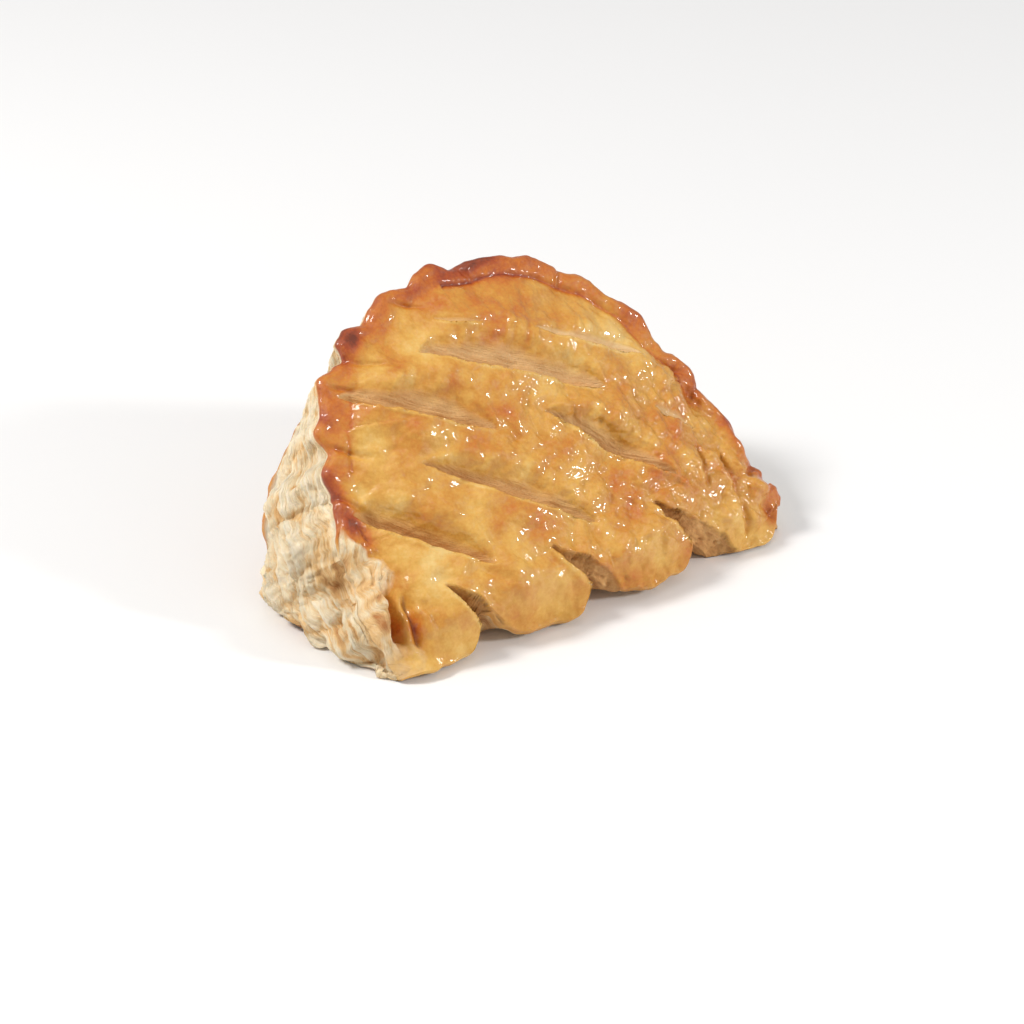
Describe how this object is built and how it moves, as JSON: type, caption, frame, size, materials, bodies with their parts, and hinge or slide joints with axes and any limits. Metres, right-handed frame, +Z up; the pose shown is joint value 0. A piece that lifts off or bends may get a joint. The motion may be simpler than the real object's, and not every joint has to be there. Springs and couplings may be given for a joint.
{
  "type": "turnover",
  "caption": "Half-moon puff pastry turnover with a crimped scalloped rim, slanted open slits and a layered end, standing on its fold with the scored face leaning back.",
  "frame": {"origin": "middle of the box round the part, on the surface that it stands on", "axes": "+X along the fold, from the end with the layered wall to the end with the knobs; +Y away from the scored face, towards the back sheet; +Z up"},
  "size_m": [0.1492, 0.08, 0.0788],
  "materials": {
    "pastry": "baked puff pastry: egg-washed golden crust with a soft gloss, browner at the crimped rim, pale matt layers at the end wall and in the slits"
  },
  "bodies": {
    "root": {"turnover": "pastry"}
  },
  "joints": []
}
